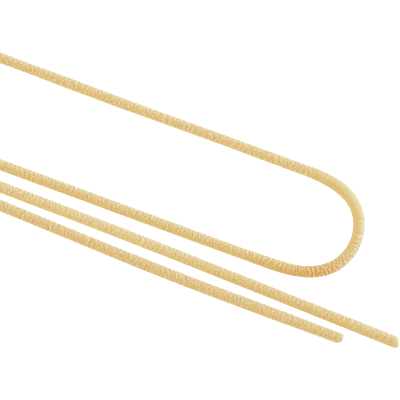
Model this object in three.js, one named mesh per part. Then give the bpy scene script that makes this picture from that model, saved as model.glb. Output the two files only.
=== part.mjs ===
// Three strands of dry spaghetti, as they lie on a table: one that dried bent over a rod, and two
// straight ones beside it. Millimetres, +Z up: the strands lie along X with the bend towards +X, the
// straight ones are on the -Y side, and every underside rests on z = 0.
import * as THREE from "three";

// Driving sizes of all strands.
const SIDES = 16; // flat sides round a strand
const REST_DEPTH = 0.03; // depth by which the round underside is flattened where it rests
const RIM_RADIUS = 0.3; // rounding of the rim of a cut end
const RIM_STEPS = 3; // flats across that rounding
const SLANT_REACH = 1.2; // length over which a slanting cut fades into the strand
const STRAIGHT_STEP = 9; // distance between rings where a strand is straight
const BEND_STEP = 1.2; // distance between rings where it bends
const STRAIGHT_ENOUGH = 1.2; // degrees that a strand may turn over one straight step
const ROUTE_STEP = 0.1; // distance between the points of a followed centreline

// Driving sizes of the bent strand, whose shape comes from the rod that it hung over.
const LEG_SPACING = 19.3; // between the centrelines of its legs
const UPPER_LEG = 243.3; // straight length before the bend
const LOWER_LEG = 226; // length from the end of the bend to the other tip
const BEND = 55; // length of strand in the bend

// Each strand is followed from its start. Headings are degrees anticlockwise from +X. A turn
// changes the heading, and a growth changes the radius, by an amount, from one place on. The origin
// is where the bend begins, halfway between the legs. A cut's slant is the tangent of its angle.
const BENT_STRAND = {
  name: "bent_strand",
  color: "#dfc187",
  radius: 1.03,
  length: UPPER_LEG + BEND + LOWER_LEG,
  start: { x: -UPPER_LEG, y: LEG_SPACING / 2 + 0.49, heading: -0.4 },
  turns: [
    { from: 20, over: 110, by: 0.4 },
    { from: 185, over: 8, by: -0.4 },
    { from: 202, over: 10, by: 0.8 },
    { from: 219, over: 8, by: -0.4 },
    { from: UPPER_LEG, over: 18.4, by: -39 },
    { from: UPPER_LEG + 6.4, over: 32.4, by: -138.8 },
    { from: UPPER_LEG + 19, over: 5, by: 0.8 },
    { from: UPPER_LEG + 24, over: 6, by: -1.6 },
    { from: UPPER_LEG + 31, over: 5, by: 0.8 },
    { from: UPPER_LEG + 27.2, over: 28, by: -2.2 },
    { from: UPPER_LEG + 100, over: 120, by: -0.5 },
  ],
  growths: [
    { from: 188, over: 6, by: 0.045 },
    { from: 204, over: 6, by: -0.045 },
    { from: 224, over: 16, by: 0.045 },
    { from: UPPER_LEG, over: 8, by: 0.15 },
    { from: UPPER_LEG + 10, over: 4, by: -0.045 },
    { from: UPPER_LEG + 15, over: 10, by: 0.02 },
    { from: UPPER_LEG + 26, over: 8, by: -0.065 },
    { from: UPPER_LEG + 33, over: 4, by: 0.03 },
    { from: UPPER_LEG + 38, over: 8, by: -0.075 },
  ],
  slants: [0.15, -0.2],
};
const MIDDLE_STRAND = {
  name: "middle_strand",
  color: "#e0c289",
  radius: 1.17,
  length: 257,
  start: { x: 29.2, y: -15.58, heading: 178.49 },
  turns: [
    { from: 42, over: 24, by: 0.76 },
    { from: 90, over: 70, by: 0.9 },
    { from: 170, over: 60, by: -0.3 },
  ],
  growths: [
    { from: 7, over: 15, by: -0.05 },
    { from: 64, over: 10, by: 0.01 },
  ],
  slants: [0.3, 0.1],
};
const OUTER_STRAND = {
  name: "outer_strand",
  color: "#dec085",
  radius: 1.09,
  length: 257,
  start: { x: 18.76, y: -18.62, heading: 179.76 },
  turns: [
    { from: 17.7, over: 36, by: -1.9 },
    { from: 72, over: 60, by: 2.4 },
    { from: 160, over: 80, by: -0.5 },
  ],
  growths: [
    { from: 4, over: 11, by: 0.075 },
    { from: 22, over: 8, by: -0.01 },
    { from: 38, over: 18, by: -0.06 },
  ],
  slants: [0, -0.15],
};

// A value at distance s along a strand: where it starts, plus the share of each change passed so far.
function changedValue(start, changes, s) {
  let value = start;
  for (const change of changes) {
    value += change.by * THREE.MathUtils.smoothstep(s, change.from, change.from + change.over);
  }
  return value;
}

function headingAt(strand, s) {
  return changedValue(strand.start.heading, strand.turns, s);
}

function radiusAt(strand, s) {
  return changedValue(strand.radius, strand.growths, s);
}

// The centreline seen from above: short straight steps, each along the heading at its middle.
function followCentreline(strand) {
  const points = [new THREE.Vector2(strand.start.x, strand.start.y)];
  for (let s = 0; s < strand.length; s += ROUTE_STEP) {
    const heading = THREE.MathUtils.degToRad(headingAt(strand, s + ROUTE_STEP / 2));
    const step = new THREE.Vector2(Math.cos(heading), Math.sin(heading)).multiplyScalar(ROUTE_STEP);
    points.push(points[points.length - 1].clone().add(step));
  }
  return points;
}

function pointAt(centreline, s) {
  const index = Math.min(Math.floor(s / ROUTE_STEP), centreline.length - 2);
  const share = s / ROUTE_STEP - index;
  return centreline[index].clone().lerp(centreline[index + 1], share);
}

// The distances along a strand that get a ring, closer together where it bends.
function ringDistances(strand) {
  const distances = [];
  let s = RIM_RADIUS;
  while (s < strand.length - RIM_RADIUS) {
    distances.push(s);
    const turning = Math.abs(headingAt(strand, s + STRAIGHT_STEP) - headingAt(strand, s));
    s += turning > STRAIGHT_ENOUGH ? BEND_STEP : STRAIGHT_STEP;
  }
  distances.push(strand.length - RIM_RADIUS);
  return distances;
}

// Half the outline of a straight strand, from the middle of one cut face to the middle of the other.
function blankProfile(strand) {
  const rim = [];
  for (let i = 0; i < RIM_STEPS; i++) {
    const angle = ((Math.PI / 2) * i) / RIM_STEPS;
    rim.push({ in: RIM_RADIUS * (1 - Math.sin(angle)), along: RIM_RADIUS * (1 - Math.cos(angle)) });
  }
  const startRadius = radiusAt(strand, 0);
  const endRadius = radiusAt(strand, strand.length);
  return [
    new THREE.Vector2(0, 0),
    ...rim.map((p) => new THREE.Vector2(startRadius - p.in, p.along)),
    ...ringDistances(strand).map((s) => new THREE.Vector2(radiusAt(strand, s), s)),
    ...rim.toReversed().map((p) => new THREE.Vector2(endRadius - p.in, strand.length - p.along)),
    new THREE.Vector2(0, strand.length),
  ];
}

// How far a slanting cut moves a point along the strand, from the point's place across it.
function slantShift(strand, across, s) {
  const atStart = strand.slants[0] * Math.max(0, 1 - s / SLANT_REACH);
  const atEnd = strand.slants[1] * Math.max(0, 1 - (strand.length - s) / SLANT_REACH);
  return across * (atStart + atEnd);
}

// A straight blank turned on a lathe, then carried onto the strand's centreline. Each ring stands
// across the centreline and high enough for its underside, cut flat, to lie on z = 0.
function strandGeometry(strand) {
  const flatUnder = Math.PI / SIDES; // turns the blank so that a flat side, not an edge, is lowest
  const geometry = new THREE.LatheGeometry(blankProfile(strand), SIDES, flatUnder);
  const centreline = followCentreline(strand);
  const position = geometry.attributes.position;
  for (let i = 0; i < position.count; i++) {
    const across = position.getX(i);
    const s = position.getY(i);
    const heading = THREE.MathUtils.degToRad(headingAt(strand, s));
    const along = new THREE.Vector2(Math.cos(heading), Math.sin(heading));
    const rightward = new THREE.Vector2(along.y, -along.x);
    const place = pointAt(centreline, s)
      .addScaledVector(rightward, across)
      .addScaledVector(along, slantShift(strand, across, s));
    const height = radiusAt(strand, s) - REST_DEPTH + position.getZ(i);
    position.setXYZ(i, place.x, place.y, Math.max(0, height));
  }
  geometry.computeVertexNormals();
  return geometry;
}

function strandMesh(strand) {
  const pasta = new THREE.MeshStandardMaterial({ color: strand.color, roughness: 0.75, metalness: 0 });
  const mesh = new THREE.Mesh(strandGeometry(strand), pasta);
  mesh.name = strand.name;
  return mesh;
}

// Places every strand so that the middle of the whole layout stands on the origin.
function centreOnOrigin(layout) {
  const middle = new THREE.Box3().setFromObject(layout).getCenter(new THREE.Vector3());
  for (const mesh of layout.children) {
    mesh.position.set(-middle.x, -middle.y, 0);
  }
}

const group = new THREE.Group();
for (const strand of [BENT_STRAND, MIDDLE_STRAND, OUTER_STRAND]) {
  group.add(strandMesh(strand));
}
centreOnOrigin(group);

export default group;
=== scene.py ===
import math

import bpy
import numpy as np
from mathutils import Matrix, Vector


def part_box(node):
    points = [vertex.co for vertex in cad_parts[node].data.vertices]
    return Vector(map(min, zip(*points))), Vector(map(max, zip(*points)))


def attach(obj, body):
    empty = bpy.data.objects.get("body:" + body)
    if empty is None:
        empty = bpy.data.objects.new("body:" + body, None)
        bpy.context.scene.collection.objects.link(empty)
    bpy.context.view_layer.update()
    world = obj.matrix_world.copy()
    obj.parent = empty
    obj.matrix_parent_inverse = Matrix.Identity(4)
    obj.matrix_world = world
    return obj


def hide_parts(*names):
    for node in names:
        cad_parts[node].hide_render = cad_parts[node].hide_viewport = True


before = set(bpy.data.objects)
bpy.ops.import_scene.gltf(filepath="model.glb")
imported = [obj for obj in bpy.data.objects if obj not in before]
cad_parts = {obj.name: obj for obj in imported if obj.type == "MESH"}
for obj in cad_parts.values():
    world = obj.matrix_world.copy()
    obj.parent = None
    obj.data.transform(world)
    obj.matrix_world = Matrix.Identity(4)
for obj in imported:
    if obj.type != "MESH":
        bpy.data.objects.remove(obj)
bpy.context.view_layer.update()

# ---- The bent strand ---------------------------------------------------------------------------
# One strand of durum wheat dough, pressed through a rough bronze die and hung over a rod to dry:
# its legs dried straight, and its bend round and a little swollen. The die tears the skin into fine
# crosswise wrinkles, floury on their crests and amber between; the pale crest colour is partly
# painted highlight, and the amber hollow colour partly painted shade. Lengths are in millimetres here.
MM = 0.001
REST_DEPTH = 0.03  # how far the round underside is flattened where a strand rests
WRINKLES = ((1.1, 0.25), (0.83, 0.35), (0.63, 0.6))  # spacings, and how much each one counts
LEAN = 0.2  # how far along the strand crests lean for each millimetre across
WRINKLE_DEPTH = 0.045  # from the hollows to the highest crests
UNEVEN_DEPTH = 0.015  # how far the slow unevenness raises or lowers the skin
CRUMB_DEPTH = 0.05  # how rough a cut face is
CUT_REACH = 1.5  # over which length a cut's slant, chip and crumbs fade into the strand
FACE_EDGE = 0.2  # how far in from the skin a cut face is as plain and floury as in its middle
FLOURY_LENGTH = 1.0  # how far flour from the cut reaches along the skin
RIM_STEPS = 4  # rings round a cut's rim
FACE_STEPS = 6  # rings across a cut face
ROUTE_MARKS = 12001  # places at which a centreline is worked out
MARKS = 20001  # places at which a strand's rings and outline are worked out
ROW_MARGIN = 0.03  # share of a row's width left free on each side of the unrolled skin
BEND_AT = 243.3  # where the bend begins, from the upper leg's tip

bent_strand = {
    "node": "bent_strand",
    "slot": "bent_pasta",
    "length": 524.3,
    "radius": 1.02,
    "sides": 24,  # places round each ring of the mesh
    "start": (-BEND_AT, 10.14),  # from where the bend begins, halfway between the legs
    "heading": -0.4,  # degrees anticlockwise from +X at the start
    # Each change below is (where it begins, over which length, by how much).
    "turns": [
        (20, 110, 0.4),
        (185, 8, -0.4),
        (202, 10, 0.8),
        (219, 8, -0.4),
        (BEND_AT, 18.4, -39),
        (BEND_AT + 6.4, 32.4, -138.8),
        (BEND_AT + 19, 5, 0.8),
        (BEND_AT + 24, 6, -1.6),
        (BEND_AT + 31, 5, 0.8),
        (BEND_AT + 27.2, 28, -2.2),
        (BEND_AT + 100, 120, -0.5),
    ],
    "growths": [
        (188, 6, 0.045),
        (204, 6, -0.045),
        (224, 16, 0.045),
        (BEND_AT, 8, 0.15),
        (BEND_AT + 10, 4, -0.045),
        (BEND_AT + 15, 10, 0.02),
        (BEND_AT + 26, 8, -0.065),
        (BEND_AT + 33, 4, 0.03),
        (BEND_AT + 38, 8, -0.075),
    ],
    "ring_gap": 0.17,  # from each ring of the mesh to the next, finer round the bend
    "gap_changes": [(BEND_AT - 75, 20, -0.08), (BEND_AT + 112, 20, 0.08)],
    # The skin is drawn smooth and pale over the shoulder of the bend, and crumpled past its round
    # end, where it also dried darker. A smooth or dark side is the left one where its value is
    # above 0, and the right one below.
    "wrinkling": [
        (BEND_AT + 1, 7, -0.75),
        (BEND_AT + 14, 8, 0.75),
        (BEND_AT + 20, 5, 0.65),
        (BEND_AT + 28, 5, -0.65),
    ],
    "smooth_side": [(BEND_AT + 15, 4, -0.7), (BEND_AT + 21, 3, 0.7), (BEND_AT + 30, 10, 0.75)],
    "long_crests": [(BEND_AT + 17, 5, 1.0), (BEND_AT + 28, 8, -0.75)],
    "leans": [(BEND_AT + 10, 4, -0.55), (BEND_AT + 21.5, 4, 0.3), (BEND_AT + 27.5, 3, 0.25)],
    "darkening": [
        (0, 1, 0.12),
        (BEND_AT + 7, 5, -0.3),
        (BEND_AT + 18, 4, 0.3),
        (BEND_AT + 23, 6, 1.0),
        (BEND_AT + 29.5, 5, -0.35),
        (BEND_AT + 32, 15, -0.55),
    ],
    "dark_side": [(BEND_AT + 5, 5, 0.1), (BEND_AT + 15, 4, -0.4), (BEND_AT + 22, 3, 0.3)],
    # A cut's rim is rounded. The cut is set back by a slant, and by a chip past the kept width, on
    # the side that it points towards, in radians from the left over the top.
    "cuts": [
        {"rim": 0.2, "towards": 0.4, "slant": 0.15, "chip": 0.0, "keep": 0.0},
        {"rim": 0.2, "towards": 3.3, "slant": 0.1, "chip": 0.6, "keep": 0.5},
    ],
    # The pale crest colour is partly painted highlight, and both hollow colours are partly painted
    # shade.
    "flour_and_highlight": (231, 214, 170),  # colours are as they are seen, from 0 to 255
    "skin": (221, 191, 126),
    "hollow": (214, 169, 95),
    "dark_hollow": (213, 148, 62),
    "seed": 11,
}


def smooth_share(x, begin, over):
    """How much of a change is done at x: 0 before it begins, 1 after it, 3t^2 - 2t^3 in between."""
    t = np.clip((x - begin) / over, 0.0, 1.0)
    return t * t * (3.0 - 2.0 * t)


def changed(first, changes, s):
    """A value along a strand: first, plus the smooth share at s of each (begin, over, by)."""
    passed = sum(by * smooth_share(s, begin, over) for begin, over, by in changes)
    return np.full_like(s, first) + passed


def centreline(strand, s):
    """The centreline at distances s: from the start, short steps are added up, each along the
    heading at its middle."""
    marks = np.linspace(0.0, strand["length"], ROUTE_MARKS)
    angle = np.radians(changed(strand["heading"], strand["turns"], (marks[1:] + marks[:-1]) / 2))
    steps = np.stack([np.cos(angle), np.sin(angle)], 1) * np.diff(marks)[:, None]
    points = np.vstack([np.zeros(2), np.cumsum(steps, 0)]) + strand["start"]
    return [np.interp(s, marks, points[:, axis]) for axis in range(2)]


def lattice_noise(x, y, z, seed):
    """Ups and downs about a cell apart, mostly within -1 to 1: each corner of a unit lattice has a
    slope hashed from its whole coordinates and the seed, and a place blends the heights that its
    cell's corners' slopes reach there, with the weights 3t^2 - 2t^3."""
    place = np.stack(np.broadcast_arrays(x, y, z))
    cell = np.floor(place).astype(np.int64)
    offset = place - cell
    blend = offset * offset * (3.0 - 2.0 * offset)
    total = 0.0
    for corner in np.ndindex(2, 2, 2):
        i, j, k = (cell[axis] + corner[axis] for axis in range(3))
        key = (i * 73856093 ^ j * 19349663 ^ k * 83492791 ^ seed * 26544357) & 0xFFFFFFFF
        key = ((key ^ (key >> 15)) * 739982445) & 0xFFFFFFFF
        key = ((key ^ (key >> 12)) * 695872825) & 0xFFFFFFFF
        slopes = [((key >> low_bit) & 1023) / 511.5 - 1.0 for low_bit in (2, 12, 22)]
        height = sum(slopes[axis] * (offset[axis] - corner[axis]) for axis in range(3))
        weights = [blend[axis] if corner[axis] else 1.0 - blend[axis] for axis in range(3)]
        total = total + 2.0 * height * np.prod(weights, 0)
    return total


def wrinkle_crests(s, y, z, lean, long_crests, seed):
    """How near each place on a straightened strand is to the top of a wrinkle, from 0 to 1: cosines
    along the strand, one for each spacing. The lean times the way across, and noise, shift where
    each is read, so that crests lean, bow and fork, and noise makes some higher than others. Where
    crests are long, the noise varies more slowly round the strand and is weaker."""
    total = 0.0
    for spacing, weight in WRINKLES:
        seed = seed + 4
        short = 0.9 * lattice_noise(s / 3.0, y / 1.1, z / 1.1, seed)
        short = short + 0.12 * lattice_noise(s / 0.8, y / 0.3, z / 0.3, seed + 1)
        long = 0.6 * lattice_noise(s / 3.0, y / 1.2, z / 1.2, seed + 2)
        long = long + 0.1 * lattice_noise(s / 0.8, y / 0.5, z / 0.5, seed + 3)
        shift = lean * y + short + (long - short) * long_crests
        height = weight * (1.0 + 0.8 * lattice_noise(s / 0.8, y, z, seed + 40))
        total = total + height * np.cos(2 * math.pi * (s + shift) / spacing)
    return np.clip(0.5 + 0.5 * total, 0.0, 1.0)


def wrinkling_at(strand, s, y):
    """How strongly the skin is wrinkled at a place: the changes along the strand added up, times 1
    less the share by which one side dried smoother, which grows with the way across. The share is
    above 0 where that is the left side, and below 0 where it is the right."""
    smoothing = changed(0.0, strand["smooth_side"], s) * y / strand["radius"]
    return changed(1.0, strand["wrinkling"], s) * (1.0 - np.clip(smoothing, 0.0, 1.0))


def body_rings(strand):
    """Distances of the rings between the rims: 1 / gap is added up along the strand, and a ring
    stands where the sum passes each whole number, so that rings are one gap apart everywhere."""
    first, last = (cut["rim"] for cut in strand["cuts"])
    marks = np.linspace(first, strand["length"] - last, MARKS)
    gaps = changed(strand["ring_gap"], strand["gap_changes"], (marks[1:] + marks[:-1]) / 2)
    passed = np.append(0.0, np.cumsum(np.diff(marks) / gaps))
    return np.interp(np.linspace(0.0, passed[-1], int(passed[-1])), passed, marks)


def cut_rings(radius, rim):
    """The rings that close a cut end, as distances back from the end and in from the skin: round
    the rim on a quarter circle, then in even steps across the face to its middle."""
    angle = np.linspace(0.0, math.pi / 2, RIM_STEPS + 1)[1:]
    across = np.linspace(rim, radius, FACE_STEPS + 1)[1:]
    back = np.append(rim * (1.0 - np.sin(angle)), np.zeros_like(across))
    inward = np.append(rim * (1.0 - np.cos(angle)), across)
    return back, inward


def cut_shift(strand, cut, from_end, y, z):
    """How far a cut's slant, its chipped edge and its crumbs pull each place back from the end: the
    slant times the way towards the cut's side, plus the chip times the way x past the kept width,
    eased as 0.1 log(1 + e^(10 x)), plus noise. The pull fades out along the strand."""
    side = y * math.cos(cut["towards"]) + z * math.sin(cut["towards"])
    slant = cut["slant"] * (side + strand["radius"])
    chip = cut["chip"] * 0.1 * np.logaddexp(0.0, (side - cut["keep"]) / 0.1)
    crumbs = CRUMB_DEPTH * lattice_noise(y / 0.25, z / 0.25, 0.0, strand["seed"] + 7)
    return (slant + chip + crumbs) * np.clip(1.0 - from_end / CUT_REACH, 0.0, 1.0)


def strand_surface(strand):
    """A strand's grid of rings. A ring is a circle of the strand's radius there, raised by wrinkles
    and a slow unevenness, stood across the centreline and set down on its flattened underside; past
    each rim the rings shrink across the cut face to its middle. Returns the places, counted from
    where the bend begins, the same places on the straightened strand, the crests, and the floury
    share from the cut, which is full on the face and fades along the skin."""
    start, end = (cut_rings(strand["radius"], cut["rim"]) for cut in strand["cuts"])
    body = body_rings(strand)
    distance = np.concatenate([start[0][::-1], body, strand["length"] - end[0]])[:, None]
    inward = np.concatenate([start[1][::-1], np.zeros_like(body), end[1]])[:, None]
    theta = np.linspace(0.0, 2 * math.pi, strand["sides"], endpoint=False)
    full = changed(strand["radius"], strand["growths"], distance)
    face = np.clip(inward / FACE_EDGE, 0.0, 1.0)

    ring = full * (1.0 - inward / strand["radius"])
    y, z = ring * np.cos(theta), ring * np.sin(theta)
    long_crests = changed(0.0, strand["long_crests"], distance)
    lean = changed(LEAN, strand["leans"], distance)
    crest = wrinkle_crests(distance, y, z, lean, long_crests, strand["seed"])
    raised = (crest - 0.5) * wrinkling_at(strand, distance, y)
    uneven = lattice_noise(distance / 9.0, y / 2.0, z / 2.0, strand["seed"] + 5)
    ring = ring + (WRINKLE_DEPTH * raised + UNEVEN_DEPTH * uneven) * (1.0 - face)
    y, z = ring * np.cos(theta), ring * np.sin(theta)

    first, last = strand["cuts"]
    shift = cut_shift(strand, first, distance, y, z)
    shift = shift - cut_shift(strand, last, strand["length"] - distance, y, z)
    centre = centreline(strand, distance)
    angle = np.radians(changed(strand["heading"], strand["turns"], distance))
    x_out = centre[0] + shift * np.cos(angle) - y * np.sin(angle)
    y_out = centre[1] + shift * np.sin(angle) + y * np.cos(angle)
    z_out = np.maximum(0.0, full - REST_DEPTH + z)
    places = np.stack([x_out, y_out, z_out], -1)
    from_end = np.minimum(distance, strand["length"] - distance)
    floury = np.maximum(face, np.clip(1.0 - from_end / FLOURY_LENGTH, 0.0, 1.0))
    straight = np.stack([distance + shift, y, z], -1)
    return places, straight, crest, np.broadcast_to(floury, y.shape)


def skin_faces(rings, sides):
    """The ring and the side that each face corner stands on, and each face's number of corners: a
    quad between neighbouring rings and sides, and at both ends a fan of triangles that closes the
    face on its middle."""
    i, j = (index.ravel() for index in np.indices((rings - 3, sides)))
    k = np.arange(sides)
    ring = [np.stack([i + 1, i + 1, i + 2, i + 2], 1).ravel()]
    ring += [np.tile([1, 1, 0], sides), np.tile([rings - 2, rings - 2, rings - 1], sides)]
    side = [np.stack([j, j + 1, j + 1, j], 1).ravel()]
    side += [np.stack([k + 1, k, k], 1).ravel(), np.stack([k, k + 1, k], 1).ravel()]
    corner_counts = np.append(np.full(len(i), 4), np.full(2 * sides, 3))
    return np.concatenate(ring), np.concatenate(side), corner_counts


def unrolled_map(straight, ring, side, corner_counts):
    """The skin unrolled and laid out in rows that fill a square: u is the way travelled over the
    skin within a row, and v is the row plus the share of the way round the strand. A row's last
    face runs on past its end, so a row is one step wider, and rows are kept a little apart."""
    steps = np.linalg.norm(np.diff(straight, axis=0), axis=-1).mean(1)
    travelled = np.append(0.0, np.cumsum(steps))
    around = 2 * math.pi * np.abs(straight[..., 1]).max()
    rows = max(1, round(math.sqrt(travelled[-1] / around)))
    row_length = travelled[-1] / rows
    first_corner = np.cumsum(corner_counts) - corner_counts
    row = np.minimum.reduceat(travelled[ring], first_corner) // (row_length * 1.0001)
    row = np.repeat(row, corner_counts)
    u = (travelled[ring] - row * row_length) / (row_length + steps.max())
    v = (row + ROW_MARGIN + (1 - 2 * ROW_MARGIN) * side / straight.shape[1]) / rows
    return np.stack([u, v], 1)


def bend_start():
    """Where the bend begins, in the object's frame: the bent strand's outline, which is its
    centreline moved both ways across it by the radius, must reach as far along X as its CAD node
    does, and have the same middle along Y."""
    s = np.linspace(0.0, bent_strand["length"], MARKS)
    x, y = centreline(bent_strand, s)
    angle = np.radians(changed(bent_strand["heading"], bent_strand["turns"], s))
    radius = changed(bent_strand["radius"], bent_strand["growths"], s)
    reach = (x + radius * np.abs(np.sin(angle))).max()
    half_width = radius * np.abs(np.cos(angle))
    middle = ((y - half_width).min() + (y + half_width).max()) / 2
    low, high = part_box("bent_strand")
    return np.array([high.x / MM - reach, (low.y + high.y) / 2 / MM - middle, 0.0])


def strand_piece(strand):
    """Makes a strand's mesh with its map and its attributes, and sets it where its CAD node lies."""
    places, straight, crest, floury = strand_surface(strand)
    rings, sides = crest.shape
    places = (places + bend_start()) * MM

    # The first and the last ring are one vertex each, in the middle of a cut face.
    ring, side, corner_counts = skin_faces(rings, sides)
    pole = (ring == 0) | (ring == rings - 1)
    used, corners = np.unique(ring * sides + np.where(pole, 0, side % sides), return_inverse=True)
    mesh = bpy.data.meshes.new(strand["node"] + "_skin")
    mesh.vertices.add(len(used))
    mesh.vertices.foreach_set("co", places.reshape(-1, 3)[used].astype(np.float32).ravel())
    mesh.loops.add(len(corners))
    mesh.loops.foreach_set("vertex_index", corners.ravel().astype(np.int32))
    mesh.polygons.add(len(corner_counts))
    first_corner = np.cumsum(corner_counts) - corner_counts
    mesh.polygons.foreach_set("loop_start", first_corner.astype(np.int32))
    mesh.update(calc_edges=True)
    mesh.shade_smooth()

    # The left side is a little darker than the right, and more so where it is a dark side.
    along = straight[..., 0]
    way_left = straight[..., 1] / strand["radius"]
    darkening = changed(0.0, strand["darkening"], along) * (0.8 + 0.2 * way_left)
    darkening = darkening + changed(0.0, strand["dark_side"], along) * way_left
    values_by_name = {
        "crest": crest,
        "wrinkling": wrinkling_at(strand, along, straight[..., 1]),
        "darkening": darkening,
        "floury_end": floury,
    }
    for name, values in values_by_name.items():
        attribute = mesh.attributes.new(name, "FLOAT", "POINT")
        attribute.data.foreach_set("value", values.reshape(-1)[used].astype(np.float32))
    attribute = mesh.attributes.new("on_strand", "FLOAT_VECTOR", "POINT")
    attribute.data.foreach_set("vector", straight.reshape(-1, 3)[used].astype(np.float32).ravel())
    unrolled = unrolled_map(straight, ring, side, corner_counts).astype(np.float32)
    mesh.uv_layers.new(name="OFBake").uv.foreach_set("vector", unrolled.ravel())

    piece = bpy.data.objects.new(strand["node"] + "_skin", mesh)
    bpy.context.scene.collection.objects.link(piece)
    return piece


def add_node(tree, kind, inputs=None, **settings):
    """A node with its settings, and its inputs, by name or number, set or linked to a socket."""
    node = tree.nodes.new(kind)
    for name, value in settings.items():
        setattr(node, name, value)
    for socket, value in (inputs or {}).items():
        if isinstance(value, bpy.types.NodeSocket):
            tree.links.new(value, node.inputs[socket])
        else:
            node.inputs[socket].default_value = value
    return node


def add_math(tree, operation, first, second, clamp=False):
    """The result of a sum on two numbers or sockets."""
    inputs = {0: first, 1: second}
    return add_node(tree, "ShaderNodeMath", inputs, operation=operation, use_clamp=clamp).outputs[0]


def add_mix(tree, share, first, second):
    """The colour that lies the share of the way from the first to the second. On a Mix node, the
    colours are inputs 6 and 7 and output 2."""
    inputs = {0: share, 6: first, 7: second}
    return add_node(tree, "ShaderNodeMix", inputs, data_type="RGBA").outputs[2]


def add_noise(tree, place, stretch, detail):
    """Noise about 0, read at the place times a stretch: the grains to a millimetre each way."""
    inputs = {0: place, 1: stretch}
    stretched = add_node(tree, "ShaderNodeVectorMath", inputs, operation="MULTIPLY").outputs[0]
    inputs = {"Vector": stretched, "Scale": 1.0, "Detail": detail, "Roughness": 0.6}
    noise = add_node(tree, "ShaderNodeTexNoise", inputs).outputs[0]
    return add_math(tree, "SUBTRACT", noise, 0.5)


def shade(red, green, blue):
    """A colour from 0 to 255 as it is seen, made linear: ((c + 0.055) / 1.055) ^ 2.4."""
    return tuple(((c / 255 + 0.055) / 1.055) ** 2.4 for c in (red, green, blue)) + (1.0,)


def durum_skin_group():
    """Rough dried durum dough, from a place on the straightened strand in millimetres. The lift
    blends hollow at 0 to skin at 0.5 to the pale crest colour at 1; the pale crests are floury and
    partly painted highlight, and the amber hollows are partly painted shade. The lift is 0.5, plus
    the crest mask's way above its middle and 1.8 of fine grit, as far as the skin is wrinkled, plus a
    tenth of the streaks that the die leaves along the strand, less 0.4 of the darkening. The pale
    crest share makes the skin rougher. The height adds the grit, half the streaks, and 0.6 of the
    crests as far as it is wrinkled."""
    tree = bpy.data.node_groups.new("durum_skin", "ShaderNodeTree")
    wanted = [("Place", "NodeSocketVector")]
    wanted += [(name, "NodeSocketFloat") for name in ("Crest", "Wrinkling", "Darkening", "Floury End")]
    wanted += [(name, "NodeSocketColor") for name in ("Flour And Highlight", "Skin", "Hollow", "Dark Hollow")]
    for name, kind in wanted:
        tree.interface.new_socket(name, in_out="INPUT", socket_type=kind)
    tree.interface.new_socket("Colour", in_out="OUTPUT", socket_type="NodeSocketColor")
    tree.interface.new_socket("Roughness", in_out="OUTPUT", socket_type="NodeSocketFloat")
    tree.interface.new_socket("Height", in_out="OUTPUT", socket_type="NodeSocketFloat")
    given = add_node(tree, "NodeGroupInput").outputs

    grit = add_noise(tree, given["Place"], (4.0, 4.0, 4.0), 1.0)
    streaks = add_noise(tree, given["Place"], (0.8, 5.0, 5.0), 2.0)
    lift = add_math(tree, "ADD", given["Crest"], add_math(tree, "MULTIPLY", grit, 1.8))
    lift = add_math(tree, "SUBTRACT", lift, 0.5)
    lift = add_math(tree, "MULTIPLY", lift, given["Wrinkling"])
    lift = add_math(tree, "ADD", lift, add_math(tree, "MULTIPLY", streaks, 0.1))
    lift = add_math(tree, "ADD", lift, 0.5)
    lift = add_math(tree, "SUBTRACT", lift, add_math(tree, "MULTIPLY", given["Darkening"], 0.4))

    # Crests take the pale colour, partly painted highlight; hollows take the amber ones, partly
    # painted shade.
    hollow = add_mix(tree, given["Darkening"], given["Hollow"], given["Dark Hollow"])
    low = add_math(tree, "MULTIPLY", lift, 2.0, clamp=True)
    high = add_math(tree, "SUBTRACT", add_math(tree, "MULTIPLY", lift, 2.0), 1.0, clamp=True)
    colour = add_mix(tree, high, add_mix(tree, low, hollow, given["Skin"]), given["Flour And Highlight"])
    pale = add_math(tree, "MULTIPLY", given["Floury End"], 0.5)
    colour = add_mix(tree, pale, colour, given["Flour And Highlight"])
    roughness = add_math(tree, "ADD", 0.6, add_math(tree, "MULTIPLY", high, 0.2))
    height = add_math(tree, "ADD", grit, add_math(tree, "MULTIPLY", streaks, 0.5))
    raised = add_math(tree, "MULTIPLY", given["Crest"], given["Wrinkling"])
    height = add_math(tree, "ADD", height, add_math(tree, "MULTIPLY", raised, 0.6))
    inputs = {"Colour": colour, "Roughness": roughness, "Height": height}
    add_node(tree, "NodeGroupOutput", inputs)
    return tree


durum_skin = durum_skin_group()


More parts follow.
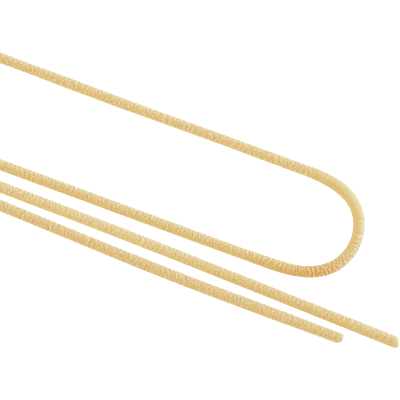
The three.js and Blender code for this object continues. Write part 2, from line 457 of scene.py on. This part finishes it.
def durum_material(strand):
    """The skin's colours and fine relief on a rough shader; the crest colour is partly painted
    highlight and the hollow colours partly painted shade. Its sheen is the floury dust, which looks
    pale where it is seen along the skin."""
    material = bpy.data.materials.new(strand["slot"])
    material.use_nodes = True
    tree = material.node_tree
    tree.nodes.clear()
    read = {
        key: add_node(tree, "ShaderNodeAttribute", attribute_name=key).outputs
        for key in ("on_strand", "crest", "wrinkling", "darkening", "floury_end")
    }
    inputs = {
        "Place": read["on_strand"]["Vector"],
        "Crest": read["crest"]["Fac"],
        "Wrinkling": read["wrinkling"]["Fac"],
        "Darkening": read["darkening"]["Fac"],
        "Floury End": read["floury_end"]["Fac"],
        "Flour And Highlight": shade(*strand["flour_and_highlight"]),
        "Skin": shade(*strand["skin"]),
        "Hollow": shade(*strand["hollow"]),
        "Dark Hollow": shade(*strand["dark_hollow"]),
    }
    skin = add_node(tree, "ShaderNodeGroup", inputs, node_tree=durum_skin).outputs
    inputs = {"Height": skin["Height"], "Strength": 0.5, "Distance": 0.05 * MM}
    fine_relief = add_node(tree, "ShaderNodeBump", inputs)
    inputs = {
        "Base Color": skin["Colour"],
        "Roughness": skin["Roughness"],
        "Normal": fine_relief.outputs["Normal"],
        "IOR": 1.45,
        "Specular IOR Level": 0.15,
        "Sheen Weight": 0.8,
        "Sheen Roughness": 0.3,
        "Sheen Tint": (0.65, 0.8, 0.85, 1.0),
    }
    shader = add_node(tree, "ShaderNodeBsdfPrincipled", inputs)
    add_node(tree, "ShaderNodeOutputMaterial", {"Surface": shader.outputs[0]})
    return material


bent_piece = strand_piece(bent_strand)
bent_piece.data.materials.append(durum_material(bent_strand))
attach(bent_piece, "root")
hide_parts("bent_strand")

# ---- The two straight strands ------------------------------------------------------------------
# Full-length strands of the same rough dough, dried straight and cut at both ends. The blade leaves
# a slightly slanting face, and one edge of it often crumbles. Each starts at its end by the bend.
middle_strand = {
    "node": "middle_strand",
    "slot": "middle_pasta",
    "length": 257,
    "radius": 1.16,
    "sides": 28,
    "start": (28.85, -15.58),
    "heading": 178.49,
    "turns": [(42, 24, 0.76), (90, 70, 0.9), (170, 60, -0.3)],
    "growths": [(7, 15, -0.05), (64, 10, 0.01)],
    "ring_gap": 0.1,
    "gap_changes": [(90, 20, 0.05)],
    "wrinkling": [(0, 1, -0.12)],
    "smooth_side": [(0, 1, 0.35)],
    "long_crests": [],
    "leans": [],
    "darkening": [(0, 1, 0.2), (30, 25, -0.4)],
    "dark_side": [],
    "cuts": [
        {"rim": 0.5, "towards": 0.0, "slant": -0.3, "chip": 0.9, "keep": 0.75},
        {"rim": 0.2, "towards": 1.0, "slant": 0.1, "chip": 0.5, "keep": 0.6},
    ],
    # As on the bent strand, the pale crest colour is partly painted highlight and the hollow colours
    # partly painted shade.
    "flour_and_highlight": (231, 214, 170),
    "skin": (221, 191, 126),
    "hollow": (214, 169, 95),
    "dark_hollow": (213, 148, 62),
    "seed": 23,
}
outer_strand = {
    "node": "outer_strand",
    "slot": "outer_pasta",
    "length": 257,
    "radius": 1.08,
    "sides": 28,
    "start": (18.76, -18.62),
    "heading": 179.76,
    "turns": [(17.7, 36, -1.9), (72, 60, 2.4), (160, 80, -0.5)],
    "growths": [(4, 11, 0.075), (22, 8, -0.01), (38, 18, -0.06)],
    "ring_gap": 0.1,
    "gap_changes": [(90, 20, 0.05)],
    "wrinkling": [(0, 1, -0.12)],
    "smooth_side": [(0, 1, 0.2)],
    "long_crests": [],
    "leans": [],
    "darkening": [(0, 1, 0.06)],
    "dark_side": [],
    "cuts": [
        {"rim": 0.4, "towards": 0.0, "slant": 0.0, "chip": 1.2, "keep": 0.48},
        {"rim": 0.2, "towards": 2.0, "slant": 0.15, "chip": 0.0, "keep": 0.0},
    ],
    # As on the bent strand, the pale crest colour is partly painted highlight and the hollow colours
    # partly painted shade.
    "flour_and_highlight": (229, 211, 168),
    "skin": (219, 187, 123),
    "hollow": (212, 165, 92),
    "dark_hollow": (211, 144, 60),
    "seed": 37,
}
for strand in (middle_strand, outer_strand):
    piece = strand_piece(strand)
    piece.data.materials.append(durum_material(strand))
    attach(piece, "root")
    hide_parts(strand["node"])

# ---- The table ---------------------------------------------------------------------------------
# A plain white table top, far wider than the view. It lies a hair below the strands' flattened
# undersides, so that the two never share a plane.
TABLE_REACH = 4.0  # metres from its middle to each side
TABLE_GAP = 0.02  # below the strands
table_mesh = bpy.data.meshes.new("table_top")
ways = ((-1, -1), (1, -1), (1, 1), (-1, 1))
table_corners = [(TABLE_REACH * x, TABLE_REACH * y, 0) for x, y in ways]
table_mesh.from_pydata(table_corners, [], [(0, 1, 2, 3)])
table = bpy.data.objects.new("table_top", table_mesh)
table.location.z = -TABLE_GAP * MM
bpy.context.scene.collection.objects.link(table)
white = bpy.data.materials.new("white_top")
white.use_nodes = True
lacquer = white.node_tree.nodes["Principled BSDF"].inputs
lacquer["Base Color"].default_value = (0.8, 0.8, 0.8, 1.0)
lacquer["Roughness"].default_value = 0.8
lacquer["Emission Color"].default_value = (1.0, 1.0, 1.0, 1.0)
lacquer["Emission Strength"].default_value = 0.2
table_mesh.materials.append(white)

# ---- Light and camera --------------------------------------------------------------------------
# A dim white tent and four soft lamps, none of which casts a shadow: a warm one overhead, two cooler
# ones low at the far side and the right, which rake across the wrinkles, and one low at the left. The
# camera looks straight down through a long lens, turned a little about the vertical.
CAMERA_TURN = math.radians(20.2)
CAMERA_HEIGHT = 0.6  # metres above the strands
VIEW_WIDTH = 77.3  # millimetres of the table across the view
AIM_INSIDE = 32.2  # millimetres back from the bend's outside to the middle of the view
AIM_ASIDE = 3.0  # millimetres to the middle of the view from halfway between the legs
bent_low, bent_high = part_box("bent_strand")
between_legs = (bent_low.y + bent_high.y) / 2
aim = Vector((bent_high.x - AIM_INSIDE * MM, between_legs - AIM_ASIDE * MM, MM))

tent = bpy.data.worlds.new("tent")
tent.use_nodes = True
tent.node_tree.nodes["Background"].inputs["Color"].default_value = (1.0, 1.0, 1.0, 1.0)
tent.node_tree.nodes["Background"].inputs["Strength"].default_value = 0.3
bpy.context.scene.world = tent

# Each lamp is (name, degrees anticlockwise from the view's right, degrees up, watts, colour), and
# shines on the middle of the view from a metre away.
lamps = [
    ("top_lamp", 0, 90, 4.5, (1.16, 1.0, 0.61)),
    ("far_lamp", 80, 14, 5.0, (0.6, 1.0, 1.84)),
    ("right_lamp", -10, 14, 5.9, (0.58, 1.0, 1.92)),
    ("left_lamp", 215, 14, 3.8, (0.88, 1.0, 1.11)),
]
for name, turn, rise, watts, colour in lamps:
    lamp_data = bpy.data.lights.new(name, "AREA")
    lamp_data.shape = "DISK"
    lamp_data.size = 0.5
    lamp_data.energy = watts
    lamp_data.color = colour
    lamp_data.use_shadow = False
    lamp = bpy.data.objects.new(name, lamp_data)
    level = math.cos(math.radians(rise))
    angle = CAMERA_TURN + math.radians(turn)
    outward = Vector((level * math.cos(angle), level * math.sin(angle), math.sin(math.radians(rise))))
    lamp.location = aim + outward
    lamp.rotation_mode = "QUATERNION"
    lamp.rotation_quaternion = outward.to_track_quat("Z", "Y")
    lamp.visible_camera = False
    bpy.context.scene.collection.objects.link(lamp)

camera_data = bpy.data.cameras.new("camera")
camera_data.sensor_width = 36.0
camera_data.lens = camera_data.sensor_width * CAMERA_HEIGHT / (VIEW_WIDTH * MM)
camera_data.clip_end = 10.0
camera = bpy.data.objects.new("camera", camera_data)
camera.location = aim + Vector((0.0, 0.0, CAMERA_HEIGHT))
camera.rotation_euler = (0.0, 0.0, CAMERA_TURN)
bpy.context.scene.collection.objects.link(camera)
bpy.context.scene.camera = camera
bpy.context.scene.view_settings.view_transform = "Standard"
